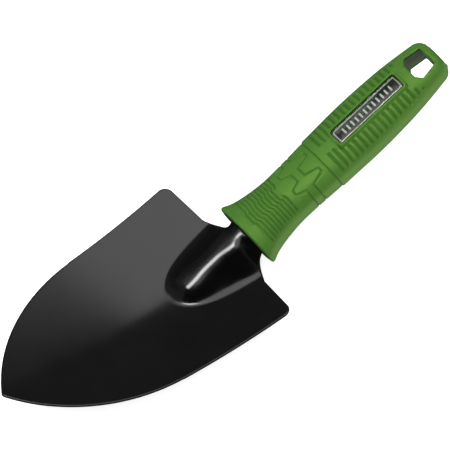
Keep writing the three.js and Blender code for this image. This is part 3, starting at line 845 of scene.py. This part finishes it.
def make_label():
    """The label's plate, with a border and a row of short bars printed on it in raised foil."""
    below = SEAT_DEPTH - GAP
    top = LABEL_THICKNESS - FOIL["height"]
    edge = LABEL_EDGE[:2] + [(inset, top + height) for inset, height in LABEL_EDGE[2:]]
    label = plate("badge_label_fine", BADGE_LENGTH, BADGE_WIDTH, BADGE_CORNER, edge, below)
    paint(label, "foil", np.zeros(len(label.data.vertices)))
    foil = [foil_border(below, top)]
    levels = [(0, top - FOIL["sink"]), (0, LABEL_THICKNESS - FOIL["edge_height"]),
              (FOIL["edge"], LABEL_THICKNESS)]
    width, length = FOIL["bar_width"], FOIL["bar_length"]
    corner = width / 2 - FOIL["edge_height"]
    for i in range(FOIL["bars"]):
        middle = (i - (FOIL["bars"] - 1) / 2) * FOIL["pitch"]
        foil.append(plate("bar", width, length, corner, levels, below, middle))
    for piece in foil:
        paint(piece, "foil", np.ones(len(piece.data.vertices)))
    join(label, foil)
    shade_by_angle(label, CREASE["badge"])
    return label


def foil_border(below, top):
    """A closed band that follows the label's outline a little way in."""
    low, high = top - FOIL["sink"], LABEL_THICKNESS
    shoulder = high - FOIL["edge_height"]
    outer, inner = FOIL["inset"], FOIL["inset"] + FOIL["width"]
    profile = [(outer, low), (outer, shoulder), (outer + FOIL["edge"], high),
               (inner - FOIL["edge"], high), (inner, shoulder), (inner, low)]
    rings = []
    for inset, height in profile:
        rings.append(on_badge_plane(badge_outline(inset, FOIL["corner"]), height, below))
    points, faces = loft(rings)
    size = len(rings[0])
    last = (len(rings) - 1) * size
    underside = [[last + i, last + (i + 1) % size, (i + 1) % size, i] for i in range(size)]
    return clean(mesh_object("border", points, faces[:-2] + underside), WELD)


def join(obj, others):
    """Adds the other meshes to obj's, as shells of the same piece."""
    with bpy.context.temp_override(active_object=obj, selected_editable_objects=[obj, *others]):
        bpy.ops.object.join()


def make_dome():
    """The clear lens: its edges roll over to a top that is slightly crowned from side to side."""
    half = BADGE_WIDTH / 2
    turns = np.linspace(0, math.pi / 2, DOME_STEPS["edge"])
    edge = [(DOME_ROLL * (1 - math.sin(t)), DOME_ROLL * (1 - math.cos(t))) for t in turns]
    over = [(inset, DOME_THICKNESS - height) for inset, height in reversed(edge)]
    insets = np.linspace(DOME_ROLL, half - DOME_MIDDLE, DOME_STEPS["top"])
    over += [(inset, DOME_THICKNESS) for inset in insets[1:]]
    below = SEAT_DEPTH - GAP - LABEL_THICKNESS - GAP
    rings = []
    for inset, height in edge + over:
        outline = badge_outline(inset, BADGE_CORNER)
        crown = DOME_CROWN * ((outline[:, 1] - DOME_PEAK_Y) / half) ** 2
        rings.append(on_badge_plane(outline, height - (height > DOME_THICKNESS / 2) * crown, below))
    dome = solid("badge_dome_fine", rings)
    shade_by_angle(dome, CREASE["badge"])
    return dome


# ---- materials --------
COAT_BLACKS = [(0.35, (0.0022, 0.0022, 0.0026)), (0.65, (0.0032, 0.0032, 0.0037))]
GRIP_GREENS = [(0.3, (0.056, 0.172, 0.024)), (0.7, (0.066, 0.190, 0.027))]
# lighter, yellower green for the painted sheen on the grip's smooth sides
GRIP_SIDE_SHEEN = (0.115, 0.250, 0.055)
# painted shade for the grip's grooves
GRIP_GROOVE_SHADE = (0.018, 0.080, 0.010)
# near-black greys for the core ahead of the hang hole, painted shade for its collar under the grip's lip
CORE_SHADE_GREYS = [(0.3, (0.028, 0.034, 0.024)), (0.7, (0.036, 0.043, 0.030))]
# the core's own grey-green as it shows in the hang hole, lightened a little as painted light for the hole's
# lower walls
CORE_TAIL = (0.14, 0.18, 0.11)
INK_BLACKS = [(0.3, (0.006, 0.007, 0.006)), (0.7, (0.010, 0.011, 0.009))]
FOIL_SILVER = (0.44, 0.52, 0.40)
FLOOR_WHITES = [(0.3, (0.86, 0.86, 0.86)), (0.7, (0.88, 0.88, 0.88))]
FLOOR_MIRRORED = (0.02, 0.02, 0.02, 1)
MOTTLE = (0.3, 0.7)  # where most values of a noise lie


class Nodes:
    """The node tree of a material or a world, emptied."""

    def __init__(self, owner):
        owner.use_nodes = True
        self.tree = owner.node_tree
        self.tree.nodes.clear()

    def node(self, kind, **inputs):
        node = self.tree.nodes.new(kind)
        for name, value in inputs.items():
            node.inputs[name.replace("_", " ")].default_value = value
        return node

    def link(self, source, target):
        self.tree.links.new(source, target)

    def range(self, source, low, high, to_low, to_high, kind="LINEAR"):
        """A value that goes from to_low to to_high while source goes from low to high."""
        node = self.node("ShaderNodeMapRange", From_Min=low, From_Max=high, To_Min=to_low, To_Max=to_high)
        node.interpolation_type = kind
        self.link(source, node.inputs["Value"])
        return node.outputs["Result"]


class Graph(Nodes):
    """A material with one Principled shader."""

    def __init__(self, name, **sockets):
        self.material = bpy.data.materials.new(name)
        super().__init__(self.material)
        self.output = self.node("ShaderNodeOutputMaterial")
        self.shader = self.node("ShaderNodeBsdfPrincipled", **sockets)
        self.link(self.shader.outputs[0], self.output.inputs["Surface"])
        self.coordinates = self.node("ShaderNodeTexCoord").outputs["Object"]

    def noise(self, scale, detail=3, roughness=0.55):
        node = self.node("ShaderNodeTexNoise", Scale=scale, Detail=detail, Roughness=roughness)
        self.link(self.coordinates, node.inputs["Vector"])
        return node.outputs["Fac"]

    def ramp(self, source, stops):
        node = self.node("ShaderNodeValToRGB")
        elements = node.color_ramp.elements
        while len(elements) < len(stops):
            elements.new(0.5)
        for element, (position, colour) in zip(elements, stops):
            element.position = position
            element.color = (*colour, 1)
        self.link(source, node.inputs["Fac"])
        return node.outputs["Color"]

    def attribute(self, name):
        node = self.node("ShaderNodeAttribute")
        node.attribute_name = name
        return node.outputs["Fac"]

    def mix(self, share, first, second):
        """A colour between two, each a colour or a socket."""
        node = self.node("ShaderNodeMix")
        node.data_type = "RGBA"
        self.link(share, node.inputs["Factor"])
        for socket, value in zip((node.inputs[6], node.inputs[7]), (first, second)):
            if isinstance(value, tuple):
                socket.default_value = (*value, 1)
            else:
                self.link(value, socket)
        return node.outputs[2]

    def bump(self, height, strength, distance, before=None):
        node = self.node("ShaderNodeBump", Strength=strength, Distance=distance)
        self.link(height, node.inputs["Height"])
        if before is not None:
            self.link(before, node.inputs["Normal"])
        return node.outputs["Normal"]

    def set(self, socket, source):
        self.link(source, self.shader.inputs[socket])

    def swap(self, ray, other):
        """Shows another shader to one kind of ray."""
        mix = self.node("ShaderNodeMixShader")
        self.link(self.node("ShaderNodeLightPath").outputs[ray], mix.inputs["Fac"])
        self.link(self.shader.outputs[0], mix.inputs[1])
        self.link(other.outputs[0], mix.inputs[2])
        self.link(mix.outputs[0], self.output.inputs["Surface"])


def powder_coat():
    g = Graph("powder_coat", IOR=1.5)
    mottle = g.noise(scale=60, detail=4)
    g.set("Base Color", g.ramp(mottle, COAT_BLACKS))
    g.set("Roughness", g.range(mottle, *MOTTLE, 0.18, 0.23))
    peel = g.bump(g.noise(scale=1400, detail=2), strength=0.05, distance=0.00008)
    g.set("Normal", g.bump(g.noise(scale=6000, detail=2), strength=0.04, distance=0.00003, before=peel))
    return g.material


def grip_rubber():
    g = Graph("grip_rubber", IOR=1.45, Specular_Tint=(0.9, 1, 0.3, 1))
    mottle = g.noise(scale=90, detail=4)
    # painted sheen: the grip's smooth sides are mixed towards a lighter green
    green = g.mix(g.attribute("side"), g.ramp(mottle, GRIP_GREENS), GRIP_SIDE_SHEEN)
    # painted shade: the grip's base colour darkens in its grooves
    g.set("Base Color", g.mix(g.range(g.attribute("cavity"), 0, 1, 0, 0.6), green, GRIP_GROOVE_SHADE))
    g.set("Roughness", g.range(mottle, *MOTTLE, 0.44, 0.54))
    g.set("Normal", g.bump(g.noise(scale=3500), strength=0.06, distance=0.00006))
    return g.material


def core_plastic():
    g = Graph("core_plastic", Roughness=0.45, IOR=1.5)
    # painted shade on the core ahead of the hang hole, its lighter colour at the tail
    g.set("Base Color", g.mix(g.attribute("tail"), g.ramp(g.noise(scale=120), CORE_SHADE_GREYS), CORE_TAIL))
    g.set("Normal", g.bump(g.noise(scale=2500), strength=0.08, distance=0.00006))
    return g.material


def label_print():
    g = Graph("label_print", IOR=1.5, Specular_IOR_Level=0.04)
    foil = g.attribute("foil")
    g.set("Base Color", g.mix(foil, g.ramp(g.noise(scale=400, detail=2), INK_BLACKS), FOIL_SILVER))
    g.set("Roughness", g.range(foil, 0, 1, 0.3, 0.45))
    return g.material


def clear_resin():
    """Clear lens; light passes it unbent on its way to the label, so that no shadow falls there."""
    g = Graph("dome_resin", IOR=1.5, Roughness=0.0, Transmission_Weight=1.0)
    g.swap("Is Shadow Ray", g.node("ShaderNodeBsdfTransparent"))
    return g.material


def give(obj, material, node):
    obj.data.materials.clear()
    obj.data.materials.append(material)
    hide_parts(node)
    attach(obj, "root")


give(make_blade(), powder_coat(), "blade")
give(make_core(), core_plastic(), "handle_core")
give(make_sleeve(), grip_rubber(), "grip_sleeve")
give(make_label(), label_print(), "badge_label")
give(make_dome(), clear_resin(), "badge_dome")


# ---- floor, lights and camera --------
OVERHEAD = {"x": (-0.24, 0.56), "y": (-0.46, 0.54), "edge": 0.07, "radiance": 2.0}
LAMP = {"x": (-0.39, -0.16), "y": (-0.12, 0.19), "edge": 0.05, "radiance": 22}
WALL = {"elevation": (24, 66), "azimuth": (-45, 21), "edge": 38, "radiance": 1.7}
AMBIENT = {"right": (-95, -60), "left": (95, 110), "elevation": (0, 20), "radiance": 0.1}
HORIZON = 0.02  # mirrored directions flatter than this see nothing
LEVEL = 0.001  # keeps directions along the floor finite in the lamps' plane
PLAIN_SKY = 0.6
KEY = {"direction": (-0.6, 0.25, 0.76), "distance": 1.4, "size": 0.6, "power": 8.5}
FILL = {"direction": (0.47, 0.05, 0.88), "distance": 1.2, "size": 0.9, "power": 2.5}
CAMERA = {"azimuth": -36.63, "elevation": 54.74, "roll": -3.135, "distance": 6.0, "width": 0.23661}
LOOK_AT = Vector((0.01202, 0.01351, 0.0102))
FLOOR_HALF = 6


def make_floor():
    """A white floor that a polished surface mirrors as black."""
    bm = bmesh.new()
    bmesh.ops.create_grid(bm, x_segments=8, y_segments=8, size=FLOOR_HALF)
    mesh = bpy.data.meshes.new("floor")
    bm.to_mesh(mesh)
    bm.free()
    floor = bpy.data.objects.new("floor", mesh)
    bpy.context.scene.collection.objects.link(floor)
    g = Graph("floor_paint", Roughness=0.9, Emission_Color=(1, 1, 1, 1), Emission_Strength=0.8)
    g.set("Base Color", g.ramp(g.noise(scale=3, detail=2), FLOOR_WHITES))
    g.swap("Is Glossy Ray", g.node("ShaderNodeBsdfDiffuse", Color=FLOOR_MIRRORED))
    floor.data.materials.append(g.material)


def softbox(name, direction, distance, size, power):
    """A square lamp that lights matt surfaces only and points at the origin."""
    light = bpy.data.lights.new(name, "AREA")
    light.shape = "SQUARE"
    light.size = size
    light.energy = power
    obj = bpy.data.objects.new(name, light)
    towards = Vector(direction).normalized()
    obj.location = towards * distance
    obj.rotation_mode = "QUATERNION"
    obj.rotation_quaternion = towards.to_track_quat("Z", "Y")
    obj.visible_camera = False
    obj.visible_glossy = False
    bpy.context.scene.collection.objects.link(obj)


class Sky(Nodes):
    """The studio as a polished surface mirrors it: brightness by direction."""

    def __init__(self, world):
        super().__init__(world)
        direction = self.node("ShaderNodeTexCoord").outputs["Generated"]
        split = self.node("ShaderNodeSeparateXYZ")
        self.link(direction, split.inputs[0])
        x, y, z = split.outputs
        self.height = z
        level = self.math("MAXIMUM", z, LEVEL)
        self.u = self.math("DIVIDE", x, level)
        self.v = self.math("DIVIDE", y, level)
        self.elevation = self.times(self.math("ARCSINE", z), math.degrees(1))
        self.azimuth = self.times(self.math("ARCTAN2", y, x), math.degrees(1))

    def math(self, operation, *values):
        node = self.node("ShaderNodeMath")
        node.operation = operation
        for socket, value in zip(node.inputs, values):
            if isinstance(value, (int, float)):
                socket.default_value = value
            else:
                self.link(value, socket)
        return node.outputs[0]

    def times(self, product, *others):
        for other in others:
            product = self.math("MULTIPLY", product, other)
        return product

    def soften(self, source, low, high, to_low, to_high):
        return self.range(source, low, high, to_low, to_high, "SMOOTHSTEP")

    def window(self, source, low, high, edge):
        """1 where source is between low and high, with soft edges."""
        rise = self.soften(source, low - edge / 2, low + edge / 2, 0, 1)
        return self.times(rise, self.soften(source, high - edge / 2, high + edge / 2, 1, 0))

    def softbox(self, box):
        """A rectangular lamp in a level plane one unit above the object."""
        along = self.window(self.u, *box["x"], box["edge"])
        return self.times(along, self.window(self.v, *box["y"], box["edge"]), box["radiance"])

    def wall(self):
        """A wall beyond the handle that gets brighter upwards and ends on its left side."""
        rise = self.math("POWER", self.range(self.elevation, *WALL["elevation"], 0, 1), 2.0)
        side = self.window(self.azimuth, *WALL["azimuth"], WALL["edge"])
        return self.times(rise, side, WALL["radiance"])

    def ambient(self):
        """A faint glow from most sides, so that no edge turns fully black."""
        right = self.soften(self.azimuth, *AMBIENT["right"], 0, AMBIENT["radiance"])
        left = self.soften(self.azimuth, *AMBIENT["left"], 0, AMBIENT["radiance"])
        rise = self.soften(self.elevation, *AMBIENT["elevation"], 0, 1)
        return self.times(self.math("ADD", right, left), rise)

    def mirrored(self):
        total = self.math("MAXIMUM", self.softbox(OVERHEAD), self.wall())
        total = self.math("ADD", self.math("ADD", total, self.ambient()), self.softbox(LAMP))
        return self.times(total, self.math("GREATER_THAN", self.height, HORIZON))


def make_world():
    """Plain light all round for matt surfaces and the backdrop, the studio's lamps for mirrored ones."""
    world = bpy.data.worlds.new("studio")
    sky = Sky(world)
    gloss = sky.node("ShaderNodeLightPath").outputs["Is Glossy Ray"]
    mirrored = sky.times(sky.mirrored(), gloss)
    strength = sky.math("ADD", mirrored, sky.times(sky.math("SUBTRACT", 1.0, gloss), PLAIN_SKY))
    background = sky.node("ShaderNodeBackground", Color=(1, 1, 1, 1))
    sky.link(strength, background.inputs["Strength"])
    sky.link(background.outputs[0], sky.node("ShaderNodeOutputWorld").inputs["Surface"])
    bpy.context.scene.world = world


def make_camera():
    """A long lens; width is the breadth of the picture at the object, in metres."""
    data = bpy.data.cameras.new("camera")
    data.sensor_width = 36
    data.lens = data.sensor_width * CAMERA["distance"] / CAMERA["width"]
    camera = bpy.data.objects.new("camera", data)
    azimuth, elevation, roll = (math.radians(CAMERA[k]) for k in ("azimuth", "elevation", "roll"))
    reach = math.cos(elevation)
    back = Vector((math.sin(azimuth) * reach, -math.cos(azimuth) * reach, math.sin(elevation)))
    level = Vector((math.cos(azimuth), math.sin(azimuth), 0))
    up = back.cross(level)
    right = level * math.cos(roll) + up * math.sin(roll)
    up = back.cross(right)
    rotation = Matrix((right, up, back)).transposed().to_4x4()
    camera.matrix_world = Matrix.Translation(LOOK_AT + back * CAMERA["distance"]) @ rotation
    data.clip_start = 0.05
    data.clip_end = 50
    bpy.context.scene.collection.objects.link(camera)
    bpy.context.scene.camera = camera


make_floor()
softbox("key", **KEY)
softbox("fill", **FILL)
make_world()
make_camera()
bpy.context.scene.view_settings.view_transform = "Standard"
